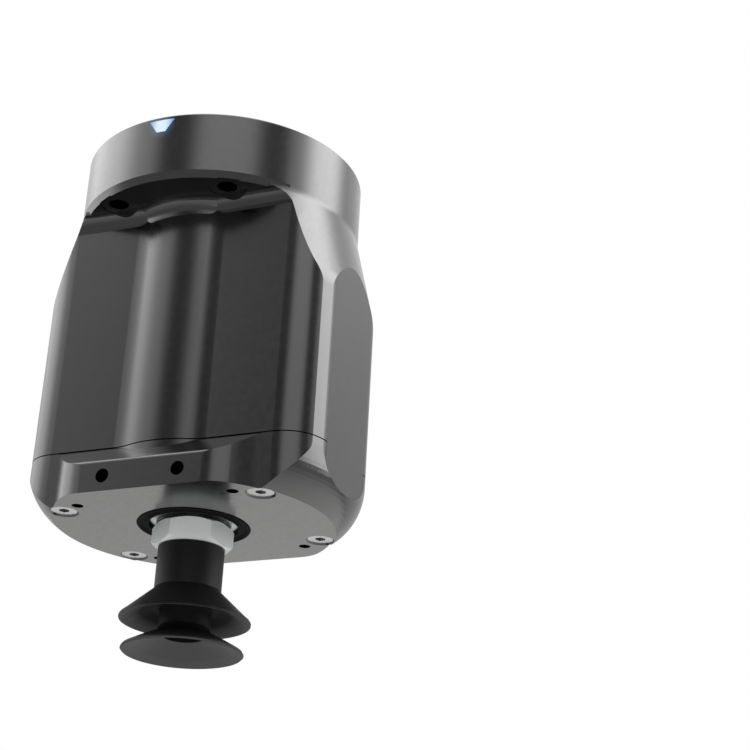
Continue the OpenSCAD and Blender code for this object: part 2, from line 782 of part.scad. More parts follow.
module motor_bearings() {
    color("#d0d2d4") for (z = [bearing_top_z - bearing_w, bearing_low_z]) translate([0, 0, z]) difference() {
        cylinder(d = bearing_d - 0.04, h = bearing_w - 0.04);
        translate([0, 0, -1]) cylinder(d = shaft_d + 2 * run_gap, h = bearing_w + 2);
    }
}

// Places its children on the tilted axis through the wobble centre
module tilted() {
    translate([0, 0, wobble_centre_z]) rotate([0, wobble_tilt, 0]) children();
}

// Reach of the pin above and below the wobble centre, along the pin
pin_up = (crank_end_z + crank_seat - wobble_centre_z - 0.4) / cos(wobble_tilt);
pin_down = 3.4;

module crank() {
    color("#a7a9ac") difference() {
        union() {
            translate([0, 0, crank_end_z]) cylinder(r = crank_r, h = crank_h);
            translate([0, 0, crank_top_z - eps]) cylinder(d = shaft_d + 1.6, h = 0.5);
        }
        translate([0, 0, crank_top_z - crank_seat + 0.2]) cylinder(d = shaft_d + 0.04, h = crank_h + 2);
        tilted() cylinder(d = crank_pin_d + 0.04, h = pin_up);
        // flat that balances the pin
        translate([crank_r - 1.4, -crank_r, crank_end_z - 1]) cube([3, 2 * crank_r, crank_h + 2]);
    }
}

module crank_pin() {
    color("#d5d7d9") tilted() translate([0, 0, -pin_down])
        cylinder(d = crank_pin_d, h = pin_down + pin_up - 0.1);
}

// Hub on the tilted pin with one arm for each diaphragm cup
module wobble_plate() {
    arm_w = 4.4;
    color("#e4e4df") tilted() difference() {
        union() {
            translate([0, 0, -3.6]) cylinder(r = 3.4, h = 4.8);
            for (i = [0:pump_cups - 1]) rotate(360 / pump_cups * i) {
                translate([0, -arm_w / 2, -plate_t]) cube([cup_circle_r, arm_w, plate_t]);
                translate([cup_circle_r, 0, -plate_t]) cylinder(d = arm_w, h = plate_t);
            }
        }
        translate([0, 0, -5]) cylinder(d = crank_pin_d + 2 * run_gap, h = 8);
        for (i = [0:pump_cups - 1]) rotate(360 / pump_cups * i)
            translate([cup_circle_r, 0, -plate_t - 1]) cylinder(d = 2.2, h = plate_t + 2, $fn = 48);
    }
}

module pump_screw_places() {
    for (i = [0:2]) rotate(90 + 120 * i) translate([pump_screw_r, 0, 0]) children();
}

module crank_case() {
    color("#3c3e41") difference() {
        translate([0, 0, case_end_z]) cylinder(r = pump_r, h = case_h);
        translate([0, 0, case_end_z - 1]) cylinder(r = pump_r - case_wall, h = case_h + 2);
        pump_screw_places() translate([0, 0, case_end_z - 1])
            cylinder(d = pump_screw_d + 2 * seat_gap, h = case_h + 2, $fn = 32);
    }
}

// Lowest level that a pusher's underside reaches as the plate wobbles
pusher_t = 0.5;
pusher_r = 2;
pusher_low_z = wobble_centre_z - cup_circle_r * sin(wobble_tilt)
    - (plate_t + pusher_t) * cos(wobble_tilt) - pusher_r * sin(wobble_tilt);

// One rubber moulding: a disc with a hollow dome under each arm, drawn pressed in
module diaphragms() {
    dome_h = pusher_low_z - seat_gap - case_end_z;
    color("#26272a") {
        difference() {
            translate([0, 0, case_end_z]) cylinder(r = pump_r - case_wall - seat_gap, h = diaphragm_t);
            for (i = [0:pump_cups - 1]) rotate(360 / pump_cups * i)
                translate([cup_circle_r, 0, case_end_z - 1]) cylinder(r = cup_r - 0.8, h = 4);
        }
        for (i = [0:pump_cups - 1]) rotate(360 / pump_cups * i) translate([cup_circle_r, 0, case_end_z])
            rotate_extrude() polygon([[cup_r - 0.8, 0], [cup_r, 0], [cup_r, diaphragm_t],
                [cup_r - 0.9, dome_h], [0, dome_h], [0, dome_h - 0.6],
                [cup_r - 1.3, dome_h - 0.6], [cup_r - 0.8, 0.4]]);
    }
}

// Buttons on the arms, each with a stem through its arm, that press the domes
module pushers() {
    color("#3a3b3e") tilted() for (i = [0:pump_cups - 1]) rotate(360 / pump_cups * i)
        translate([cup_circle_r, 0, -plate_t]) {
            translate([0, 0, -pusher_t]) cylinder(r = pusher_r, h = pusher_t, $fn = 48);
            translate([0, 0, -pusher_t / 2]) cylinder(r = 1, h = pusher_t / 2 + plate_t + 0.4, $fn = 48);
        }
}

module valve_plate() {
    color("#d8d6cc") difference() {
        translate([0, 0, valve_plate_end_z]) cylinder(r = pump_r, h = valve_plate_t);
        for (i = [0:pump_cups - 1]) rotate(360 / pump_cups * i) {
            translate([cup_circle_r, 0, valve_plate_end_z - 1]) cylinder(d = 1.6, h = 8, $fn = 32);
            for (s = [-1, 1]) translate([cup_circle_r, 2 * s, valve_plate_end_z - 1])
                cylinder(d = 1, h = 8, $fn = 32);
        }
        pump_screw_places() translate([0, 0, valve_plate_end_z - 1])
            cylinder(d = pump_screw_d + 2 * seat_gap, h = 8, $fn = 32);
    }
}

// Umbrella valves, one under each cup, with stems in the valve plate
module valve_flaps() {
    color("#7d2f2a") for (i = [0:pump_cups - 1]) rotate(360 / pump_cups * i)
        translate([cup_circle_r, 0, 0]) {
            translate([0, 0, valve_plate_end_z - 0.65]) cylinder(d = 6.4, h = 0.6, $fn = 48);
            translate([0, 0, valve_plate_end_z - 0.2]) cylinder(d = 1.4, h = 2.4, $fn = 32);
        }
}

module pump_head() {
    color("#34363a") difference() {
        union() {
            translate([0, 0, pump_end_z]) cylinder(r = pump_r, h = pump_head_h);
            translate([0, 0, spigot_end_z]) cylinder(d = inlet_spigot_d, h = pump_end_z - spigot_end_z + 1);
        }
        // a chamber under each valve, joined to the inlet by a ring channel
        for (i = [0:pump_cups - 1]) rotate(360 / pump_cups * i)
            translate([cup_circle_r, 0, valve_plate_end_z - 2.4]) cylinder(d = 7.4, h = 3);
        for (i = [0:pump_cups - 1]) rotate(360 / pump_cups * i)
            translate([0, -1, valve_plate_end_z - 2]) cube([cup_circle_r, 2, 2.4]);
        translate([0, 0, spigot_end_z - 1]) cylinder(d = inlet_d, h = 20);
        pump_screw_places() translate([0, 0, pump_end_z - 1]) {
            cylinder(d = pump_screw_d + 2 * seat_gap, h = 12, $fn = 32);
            cylinder(d = 3.8 + 2 * seat_gap, h = 3, $fn = 48);
        }
    }
}

module pump_screws() {
    color("#b4b6b8") pump_screw_places() {
        translate([0, 0, pump_end_z + 0.2]) cylinder(d = 3.8, h = 1.8, $fn = 48);
        translate([0, 0, pump_end_z + 1])
            cylinder(d = pump_screw_d, h = bell_end_z - pump_end_z + 1.6, $fn = 32);
    }
}

// Rubber rings that hold the pump in the round column and damp it
module damping_rings() {
    color("#1c1c1d") for (z = [bell_end_z + 0.5, pump_end_z + 1.2]) translate([0, 0, z]) difference() {
        cylinder(r = column_r - wall - seat_gap, h = 2.6);
        translate([0, 0, -1]) cylinder(r = pump_r + seat_gap, h = 5);
    }
}

module inlet_seal() {
    color("#101010") translate([0, 0, spigot_end_z + 0.1]) difference() {
        cylinder(d = inlet_spigot_d + 4.8, h = 1.8);
        translate([0, 0, -1]) cylinder(d = inlet_spigot_d + 0.2, h = 4);
    }
}

// Release valve

module at_valve() {
    translate([-valve_x, 0, 0]) children();
}

guide_r = plunger_d / 2 + 0.08;

module valve_body() {
    color("#c9c7be") at_valve() difference() {
        translate([-valve_body_w / 2, -valve_body_w / 2, cap_top_z])
            cube([valve_body_w, valve_body_w, valve_body_h]);
        translate([0, 0, cap_top_z - 1]) cylinder(d = 1.6, h = 40);
        translate([0, 0, valve_seat_z - 4]) cylinder(r = guide_r, h = 10);
        // vent to the hollow
        translate([0, 0, valve_seat_z - 3]) rotate([90, 0, 0]) cylinder(d = 1.6, h = 20);
    }
}

module valve_coil() {
    color("#8f5a2c") at_valve() difference() {
        translate([0, 0, valve_seat_z]) cylinder(d = coil_d, h = coil_h);
        translate([0, 0, valve_seat_z - 1]) cylinder(r = guide_r, h = coil_h + 2);
    }
}

module valve_core() {
    color("#9fa1a4") at_valve() {
        translate([0, 0, coil_top_z - core_len]) cylinder(r = guide_r - seat_gap, h = core_len);
        translate([0, 0, coil_top_z]) cylinder(d = coil_d, h = 1.2);
    }
}

plunger_top_z = valve_seat_z - 3.9 + plunger_len;

module valve_plunger() {
    color("#b9bbbe") at_valve() translate([0, 0, plunger_top_z - plunger_len])
        cylinder(d = plunger_d, h = plunger_len);
}

// Coil spring between plunger and core, drawn as its outer sleeve
module valve_spring() {
    color("#cfd1d3") at_valve() translate([0, 0, plunger_top_z + 0.05]) difference() {
        cylinder(r = plunger_d / 2 - 0.4, h = coil_top_z - core_len - plunger_top_z - 0.1);
        translate([0, 0, -1]) cylinder(r = plunger_d / 2 - 0.4 - spring_wire, h = 20);
    }
}

// Electronics

module control_board() {
    color("#1f4a2d") translate([card_x, -card_w / 2, housing_end_z + 0.2])
        cube([board_t, card_w, card_top_z - housing_end_z - 0.2]);
}

module board_parts() {
    color("#17181a") {
        translate([card_x - 1.2, -4, card_top_z - 22]) cube([1.2, 8, 8]);
        translate([card_x - 1.6, 7, card_top_z - 14]) cube([1.6, 5, 6]);
        translate([card_x - 4.6, -5, card_top_z - 8]) cube([4.6, 10, 4.6]);
        for (y = [-11, 11]) translate([card_x, y, card_top_z - 36])
            rotate([0, -90, 0]) cylinder(d = 5, h = 6, $fn = 48);
    }
}

module pressure_sensor() {
    color("#24262a") {
        translate([card_x - sensor_t, -3.5, sensor_base_z]) cube([sensor_t, 7, 6]);
        translate([sensor_x, 0, cap_top_z - 2])
            cylinder(d = 2.2, h = sensor_base_z - cap_top_z + 2.2, $fn = 32);
    }
}

module exhaust_plugs() {
    color("#3b3024") for (sx = [-1, 1])
        translate([sx * exhaust_x / 2, boss_d / 2 - accessory_depth - 0.1, accessory_z])
            rotate([90, 0, 0]) cylinder(d = silencer_d - 0.1, h = silencer_len);
}

main_housing();
end_cap();
cap_gasket();
cap_screws();
face_seal();
port_insert();
port_fitting();
inlet_filter();
cup_neck();
cup_bellows();
cup_lip();
light_guide();
status_led();
contact_board();
contact_pads();
signal_harness();
motor_can();
motor_bell();
motor_stator();
motor_coils();
rotor_magnet();
motor_shaft();
motor_bearings();
crank();
crank_pin();
wobble_plate();
crank_case();
diaphragms();
pushers();
valve_plate();
valve_flaps();
pump_head();
pump_screws();
damping_rings();
inlet_seal();
valve_body();
valve_coil();
valve_core();
valve_plunger();
valve_spring();
control_board();
board_parts();
pressure_sensor();
exhaust_plugs();
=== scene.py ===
import bpy
import math
from mathutils import Matrix, Vector


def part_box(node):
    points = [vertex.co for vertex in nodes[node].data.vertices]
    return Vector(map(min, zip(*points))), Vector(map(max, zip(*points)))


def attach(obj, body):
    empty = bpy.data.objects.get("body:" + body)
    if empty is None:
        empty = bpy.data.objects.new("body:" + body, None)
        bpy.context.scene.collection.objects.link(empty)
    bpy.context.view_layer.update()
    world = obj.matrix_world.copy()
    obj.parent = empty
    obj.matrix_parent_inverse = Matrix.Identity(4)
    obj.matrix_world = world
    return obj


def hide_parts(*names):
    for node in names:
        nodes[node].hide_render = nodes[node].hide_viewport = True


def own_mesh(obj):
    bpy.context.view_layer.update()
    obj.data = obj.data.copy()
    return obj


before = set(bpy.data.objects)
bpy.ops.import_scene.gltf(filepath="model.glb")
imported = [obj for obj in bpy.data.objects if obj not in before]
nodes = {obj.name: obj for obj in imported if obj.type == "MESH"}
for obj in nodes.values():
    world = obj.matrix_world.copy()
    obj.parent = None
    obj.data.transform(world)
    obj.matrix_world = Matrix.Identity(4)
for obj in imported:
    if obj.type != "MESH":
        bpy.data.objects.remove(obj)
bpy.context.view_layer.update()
print("stage: frame loaded,", len(nodes), "nodes")


def mm(value):
    return value / 1000


def deselectAll():
    if bpy.context.object and bpy.context.object.mode != "OBJECT":
        bpy.ops.object.mode_set(mode="OBJECT")
    bpy.ops.object.select_all(action="DESELECT")


# camera below the gripper at its front right, a little rolled; it aims at a point on the axis
camera = {
    "lens": 82.43, "sensor": 36.0,
    "azimuth": 28.89, "elevation": -23.21, "roll": 5.41,
    "distance": 455.4, "aim": (0, 0, -60), "near": 10,
    "left": 0.09763, "down": 0.00517,  # tangents from the view axis to the aim point
}


def makeCamera(c):
    a, e, r = (math.radians(c[k]) for k in ("azimuth", "elevation", "roll"))
    toAim = Vector((-math.sin(a) * math.cos(e), math.cos(a) * math.cos(e), -math.sin(e)))
    side = toAim.cross(Vector((0, 0, 1))).normalized()
    over = side.cross(toAim)
    right = side * math.cos(r) + over * math.sin(r)
    up = over * math.cos(r) - side * math.sin(r)
    place = Vector([mm(v) for v in c["aim"]]) - toAim * mm(c["distance"])
    turn = Vector((0, 0, 1)).rotation_difference(Vector((-c["left"], -c["down"], 1))).to_matrix()
    right, up, forward = turn @ Matrix((right, up, toAim))
    data = bpy.data.cameras.new("camera")
    data.lens, data.sensor_width = c["lens"], c["sensor"]
    data.clip_start = mm(c["near"])
    obj = bpy.data.objects.new("camera", data)
    bpy.context.scene.collection.objects.link(obj)
    obj.matrix_world = Matrix.Translation(place) @ Matrix((right, up, -forward)).transposed().to_4x4()
    bpy.context.scene.camera = obj


deselectAll()
makeCamera(camera)
print("stage: camera placed")


def linear(hexColour):
    parts = [int(hexColour[i:i + 2], 16) / 255 for i in (1, 3, 5)]
    return [p / 12.92 if p <= 0.04045 else ((p + 0.055) / 1.055) ** 2.4 for p in parts] + [1.0]


# adds one shader node: settings are its properties or input values, links are its inputs by name or i-number
def add(tree, kind, settings=None, **links):
    node = tree.nodes.new(kind)
    for key, value in (settings or {}).items():
        if isinstance(key, str) and hasattr(node, key):
            setattr(node, key, value)
        else:
            node.inputs[key].default_value = value
    for key, source in links.items():
        name = key.replace("_", " ")
        target = node.inputs[int(name[1:])] if name[0] == "i" and name[1:].isdigit() else node.inputs[name]
        tree.links.new(source, target)
    return node


def newMaterial(name):
    made = bpy.data.materials.new(name)
    made.use_nodes = True
    made.node_tree.nodes.clear()
    tree = made.node_tree
    return made, tree, add(tree, "ShaderNodeTexCoord").outputs["Object"]


def finishMaterial(tree, shader):
    out = add(tree, "ShaderNodeOutputMaterial")
    tree.links.new(shader.outputs[0], out.inputs["Surface"])


def dress(material, *names):
    for name in names:
        slots = nodes[name].data.materials
        slots.clear()
        slots.append(material)


# anodised aluminium, bead-blasted: dark metal with an even fine grain, a soft gloss and faint cloudy shade,
# and a painted glow of the status light's blue round the window, given off by the metal itself
anodised = {
    "colour": "#6d6d6d", "roughness": 0.21, "unevenness": 0.03,
    # size of the beads' marks in mm, drawn coarser than real ones so that they show, and how deep they look
    "beads": 0.35, "relief": 0.05, "depth": 0.012,
    "cloud": 40, "cloudShade": 0.02,
    # painted glow of the status light: window centre in mm, its colour, radii in mm from full to none, and
    # strength
    "window": (0, -37.5, -2.6), "paintedGlow": "#2e6f9e", "near": 1.9, "far": 4.3, "strength": 0.34,
}


def anodisedAluminiumBlasted(s):
    made, tree, place = newMaterial("anodisedAluminiumBlasted")
    beads = add(tree, "ShaderNodeTexNoise", {"Scale": 250 / s["beads"], "Detail": 2.0, "Roughness": 0.6},
                Vector=place)
    cloud = add(tree, "ShaderNodeTexNoise", {"Scale": 1000 / s["cloud"], "Detail": 4.0, "Roughness": 0.6},
                Vector=place)
    rough = add(tree, "ShaderNodeMapRange", {"From Min": 0.3, "From Max": 0.7,
                "To Min": s["roughness"] - s["unevenness"], "To Max": s["roughness"] + s["unevenness"]},
                Value=beads.outputs["Fac"])
    shade = add(tree, "ShaderNodeMapRange", {"From Min": 0.3, "From Max": 0.7,
                "To Min": 1 - s["cloudShade"], "To Max": 1 + s["cloudShade"]}, Value=cloud.outputs["Fac"])
    colour = add(tree, "ShaderNodeVectorMath", {"operation": "SCALE", 0: linear(s["colour"])[:3]},
                 Scale=shade.outputs["Result"])
    relief = add(tree, "ShaderNodeBump", {"Strength": s["relief"], "Distance": mm(s["depth"])},
                 Height=beads.outputs["Fac"])
    # painted glow: the metal emits the status light's blue, fading with distance from the window
    away = add(tree, "ShaderNodeVectorMath", {"operation": "DISTANCE", 1: [mm(v) for v in s["window"]]},
               i0=place)
    paintedGlow = add(tree, "ShaderNodeMapRange", {"interpolation_type": "SMOOTHSTEP",
                "From Min": mm(s["near"]), "From Max": mm(s["far"]), "To Min": s["strength"], "To Max": 0.0},
                Value=away.outputs["Value"])
    shader = add(tree, "ShaderNodeBsdfPrincipled", {"Metallic": 1.0, "Emission Color": linear(s["paintedGlow"])},
                 Base_Color=colour.outputs["Vector"], Roughness=rough.outputs["Result"],
                 Normal=relief.outputs["Normal"], Emission_Strength=paintedGlow.outputs["Result"])
    finishMaterial(tree, shader)
    return made


# what a grained material has when its own line doesn't say otherwise; depth in mm. A face counts as looking
# down from "downFrom" on, and wholly at "downTo", as the height of its normal
grainUsual = {
    "spread": 0.05, "relief": 0.1, "depth": 0.02, "metal": 0.0, "gloss": 0.5,
    "smoother": 0.04, "rougher": 0.05, "smoothest": 0.05, "downFrom": -0.2, "downTo": -0.6,
}


# one recipe for the fine-grained materials: mottled colour, uneven gloss and a shallow relief of one pattern,
# rings of a tool where "rings" gives their pitch, else a grain of the size that "grain" gives, both in mm.
# Where the real one is finer, it is drawn as coarse as it needs to show
def grained(name, own):
    s = {**grainUsual, **own}
    made, tree, place = newMaterial(name)
    if "rings" in s:
        pattern = add(tree, "ShaderNodeTexWave", {"wave_type": "RINGS", "rings_direction": "Z",
                      "Scale": 50 / s["rings"], "Distortion": 0.8, "Detail": 2.0, "Detail Scale": 2.0},
                      Vector=place)
    else:
        pattern = add(tree, "ShaderNodeTexNoise", {"Scale": 250 / s["grain"], "Detail": 3.0,
                      "Roughness": 0.6}, Vector=place)
    value = pattern.outputs["Fac"]
    shade = add(tree, "ShaderNodeMapRange", {"From Min": 0.25, "From Max": 0.75,
                "To Min": 1 - s["spread"], "To Max": 1 + s["spread"]}, Value=value)
    rough = add(tree, "ShaderNodeMapRange", {"From Min": 0.25, "From Max": 0.75,
                "To Min": max(s["smoothest"], s["roughness"] - s["smoother"]),
                "To Max": s["roughness"] + s["rougher"]}, Value=value)
    relief = add(tree, "ShaderNodeBump", {"Strength": s["relief"], "Distance": mm(s["depth"])}, Height=value)
    colour = add(tree, "ShaderNodeVectorMath", {"operation": "SCALE", 0: linear(s["colour"])[:3]},
                 Scale=shade.outputs["Result"])
    shader = add(tree, "ShaderNodeBsdfPrincipled", {"Metallic": s["metal"], "Specular IOR Level": s["gloss"]},
                 Base_Color=colour.outputs["Vector"], Roughness=rough.outputs["Result"],
                 Normal=relief.outputs["Normal"])
    # painted light from below on the faces that look down, where the material has it
    if "under" in s:
        paintedLightBelow(tree, s, place, colour, shader)
    finishMaterial(tree, shader)
    return made


# gives the faces that look down a paler colour, painted light from below; on a skirt, given by its inner
# and outer radius, this painted light fades out inwards into painted shade in the hollow, and the gloss with
# it
def paintedLightBelow(tree, s, place, colour, shader):
    facing = add(tree, "ShaderNodeSeparateXYZ", Vector=add(tree, "ShaderNodeNewGeometry").outputs["Normal"])
    # how far a face looks down: its share of the painted light from below
    down = add(tree, "ShaderNodeMapRange", {"interpolation_type": "SMOOTHSTEP", "From Min": s["downFrom"],
               "From Max": s["downTo"], "To Min": 0.0, "To Max": 1.0}, Value=facing.outputs["Z"])
    share = down.outputs["Result"]
    if "skirt" in s:
        inside, outside = s["skirt"]
        flat = add(tree, "ShaderNodeVectorMath", {"operation": "MULTIPLY", 1: (1, 1, 0)}, i0=place)
        radius = add(tree, "ShaderNodeVectorMath", {"operation": "LENGTH"}, i0=flat.outputs["Vector"])
        reach = add(tree, "ShaderNodeMapRange", {"From Min": mm(inside), "From Max": mm(outside)},
                    Value=radius.outputs["Value"])
        left = add(tree, "ShaderNodeMath", {"operation": "SUBTRACT", 0: 1.0}, i1=reach.outputs["Result"])
        inner = add(tree, "ShaderNodeMath", {"operation": "MULTIPLY"}, i0=share, i1=left.outputs["Value"])
        # the gloss falls towards hollowGloss inwards, painted shade in the hollow
        gloss = add(tree, "ShaderNodeMapRange", {"To Min": s["gloss"], "To Max": s["hollowGloss"]},
                    Value=inner.outputs["Value"])
        tree.links.new(gloss.outputs["Result"], shader.inputs["Specular IOR Level"])
        share = add(tree, "ShaderNodeMath", {"operation": "MULTIPLY"}, i0=share,
                    i1=reach.outputs["Result"]).outputs["Value"]
    base = add(tree, "ShaderNodeMix", {"data_type": "RGBA", 6: linear(s["colour"]), 7: linear(s["under"])},
               i0=share)
    tree.links.new(base.outputs[2], colour.inputs[0])


# acrylic light guide, polished: clear cool white that fades to blue at its ends, lit from behind
lightGuide = {
    "core": "#eaf5ff", "edge": "#4f90c6", "coreHalf": 0.6, "half": 4.2, "strength": 0.85,
    "body": "#35566f", "roughness": 0.3,
}


def acrylicPolished(s):
    made, tree, place = newMaterial("acrylicPolished")
    split = add(tree, "ShaderNodeSeparateXYZ", Vector=place)
    across = add(tree, "ShaderNodeMath", {"operation": "ABSOLUTE"}, i0=split.outputs["X"])
    fade = add(tree, "ShaderNodeMapRange", {"interpolation_type": "SMOOTHSTEP", "From Min": mm(s["coreHalf"]),
               "From Max": mm(s["half"]), "To Min": 0.0, "To Max": 1.0}, Value=across.outputs["Value"])
    glow = add(tree, "ShaderNodeMix", {"data_type": "RGBA", 6: linear(s["core"]), 7: linear(s["edge"])},
               i0=fade.outputs["Result"])
    shader = add(tree, "ShaderNodeBsdfPrincipled", {"Base Color": linear(s["body"]),
                 "Roughness": s["roughness"], "Emission Strength": s["strength"]},
                 Emission_Color=glow.outputs[2])
    finishMaterial(tree, shader)
    return made


dress(anodisedAluminiumBlasted(anodised), "main_housing", "end_cap")
dress(acrylicPolished(lightGuide), "light_guide")

# nitrile rubber, moulded: near black and satin, with painted light from below in a paler grey under the skirt
# of the fold, fading inwards into painted shade
cupRubber = grained("nitrileRubberMoulded", {"colour": "#0d0d0e", "under": "#363636", "skirt": (11.3, 17.2),
                                             "grain": 0.5, "roughness": 0.5, "relief": 0.15, "gloss": 0.28,
                                             "hollowGloss": 0.02})
dress(cupRubber, "cup_neck", "cup_bellows")
# nitrile rubber, ground: the same black with a matt sealing face inside the lip, painted a paler grey as
# light from below where it looks down
dress(grained("nitrileRubberGround", {"colour": "#0d0d0e", "under": "#3a3a3a", "grain": 0.4,
                                      "roughness": 0.55, "relief": 0.2, "gloss": 0.28}), "cup_lip")
# foamed rubber, cut: dead black and dull
dress(grained("foamRubberCut", {"colour": "#0b0b0c", "grain": 0.35, "roughness": 0.8, "relief": 0.4,
                                "gloss": 0.15}), "cap_gasket", "face_seal", "inlet_seal", "damping_rings")
# silicone rubber, moulded: soft brick red with a satin skin
dress(grained("siliconeRubberMoulded", {"colour": "#9a4436", "grain": 0.6, "roughness": 0.45}),
      "valve_flaps", "diaphragms")
# nickel-plated brass, turned: pale and bright with the tool's fine rings
dress(grained("nickelPlatedBrassTurned", {"colour": "#b4b7b8", "rings": 0.22, "roughness": 0.3, "metal": 1.0,
                                          "spread": 0.03}), "port_insert")
# nickel-plated brass, tumbled: pale and soft, with no edge of a reflection left
dress(grained("nickelPlatedBrassTumbled", {"colour": "#dadddc", "grain": 0.5, "roughness": 0.42, "metal": 0.4,
                                           "spread": 0.02, "relief": 0.05}), "port_fitting")
# stainless steel, turned: a little darker and softer than the nickel
dress(grained("stainlessSteelTurned", {"colour": "#c2c3c3", "rings": 0.18, "roughness": 0.3, "metal": 1.0}),
      "cap_screws", "pump_screws", "motor_shaft", "crank_pin", "valve_plunger", "valve_core")
# bearing steel, ground: smooth and bright
springSteel = grained("bearingSteelGround", {"colour": "#b9bcbe", "rings": 0.12, "roughness": 0.2,
                                             "metal": 1.0})
dress(springSteel, "motor_bearings", "valve_spring")
# zinc-plated steel, drawn: grey with a cloudy gloss
dress(grained("zincPlatedSteelDrawn", {"colour": "#9a9da1", "grain": 3, "roughness": 0.32, "metal": 1.0}),
      "motor_can", "motor_bell")
# silicon steel, laminated: fine dark layers along the stack
dress(grained("siliconSteelLaminated", {"colour": "#6f7276", "grain": 0.35, "roughness": 0.45, "metal": 1.0}),
      "motor_stator")
# enamelled copper wire, wound: warm brown metal, grained like close turns
dress(grained("copperWireEnamelled", {"colour": "#b5642f", "grain": 0.4, "roughness": 0.3, "metal": 1.0,
                                      "relief": 0.5, "spread": 0.15}), "motor_coils", "valve_coil")
# bonded magnet, ground: dark grey with a dull metal cast
dress(grained("bondedMagnetGround", {"colour": "#4c4f54", "grain": 0.3, "roughness": 0.5, "metal": 0.6}),
      "rotor_magnet")
# brass, turned: yellow metal with tool rings
dress(grained("brassTurned", {"colour": "#c6a35a", "rings": 0.2, "roughness": 0.3, "metal": 1.0}), "crank")
# acetal, moulded: ivory plastic with a waxy sheen
dress(grained("acetalMoulded", {"colour": "#e2ded3", "grain": 0.8, "roughness": 0.38, "spread": 0.03}),
      "wobble_plate", "pushers", "valve_plate", "valve_body")
# glass-filled nylon, moulded: charcoal plastic with fibres that dull its skin
dress(grained("glassFilledNylonMoulded", {"colour": "#2b2d30", "grain": 0.4, "roughness": 0.55,
                                          "relief": 0.25, "spread": 0.12}), "crank_case", "pump_head")
# epoxy, moulded: black chip and sensor bodies
dress(grained("epoxyMoulded", {"colour": "#1b1c1f", "grain": 0.3, "roughness": 0.6}), "board_parts",
      "pressure_sensor")
# circuit board, solder-masked: green lacquer over faint weave
dress(grained("circuitBoardSolderMasked", {"colour": "#1d5a35", "grain": 0.8, "roughness": 0.28,
                                           "spread": 0.1}), "control_board", "contact_board")
# gold-plated brass, turned: warm and bright
dress(grained("goldPlatedBrassTurned", {"colour": "#e3bb62", "rings": 0.15, "roughness": 0.2, "metal": 1.0}),
      "contact_pads")
# led lens, cast: milky white epoxy
dress(grained("epoxyLensCast", {"colour": "#eef0ee", "grain": 1, "roughness": 0.25, "spread": 0.02}),
      "status_led")
# filter felt, pressed: off-white and rough
dress(grained("filterFeltPressed", {"colour": "#d6d2c6", "grain": 0.25, "roughness": 0.9, "relief": 0.8,
                                    "depth": 0.08, "spread": 0.1}), "inlet_filter")
# bronze, sintered: brown beads with open pores
dress(grained("bronzeSintered", {"colour": "#7a6038", "grain": 0.3, "roughness": 0.6, "metal": 0.8,
                                 "relief": 0.8, "depth": 0.08, "spread": 0.2}), "exhaust_plugs")
# cable jacket, extruded: charcoal vinyl
dress(grained("vinylExtruded", {"colour": "#222325", "grain": 1.2, "roughness": 0.42}), "signal_harness")
print("stage: materials on the nodes")

# bellows fold: half-section from the neck out to the rim, back under it to the waist, then up inside
bellows = {
    "section": ((6.3, -116.82), (8.4, -116.82), (8.62, -117.15), (15.9, -123.82), (16.28, -124.08),
                (16.5, -124.42), (16.46, -124.74), (16.2, -124.86), (15.7, -124.74), (9.0, -122.0),
                (7.4, -121.7), (6.75, -121.95), (6.45, -122.7), (6.4, -126.4), (5.1, -126.4), (5.1, -121.3),
                (5.6, -120.4), (9.0, -121.05), (13.0, -123.1), (13.2, -123.0), (6.3, -118.66)),
    "steps": 144, "travel": 5,
}
sharpEdge = math.radians(40)  # edges that turn more than this stay crisp


def makeBellows(s, material):
    deselectAll()
    bpy.ops.mesh.primitive_circle_add(vertices=len(s["section"]))
    piece = bpy.context.object
    piece.name = "bellowsFold"
    for corner, (r, z) in zip(piece.data.vertices, s["section"]):
        corner.co = (mm(r), 0, mm(z))
    bpy.ops.object.mode_set(mode="EDIT")
    bpy.ops.mesh.select_all(action="SELECT")
    bpy.ops.mesh.spin(steps=s["steps"], angle=2 * math.pi, center=(0, 0, 0), axis=(0, 0, 1))
    bpy.ops.mesh.select_all(action="SELECT")
    bpy.ops.mesh.remove_doubles(threshold=1e-6)
    bpy.ops.mesh.normals_make_consistent(inside=False)
    bpy.ops.object.mode_set(mode="OBJECT")
    bpy.ops.object.shade_smooth_by_angle(angle=sharpEdge)
    piece.data.materials.append(material)
    return piece


# release valve spring: round wire wound in the ring that the frame leaves for it
spring = {"wire": 0.42, "wireSides": 14, "turns": 2, "steps": 64, "travel": 1.5}


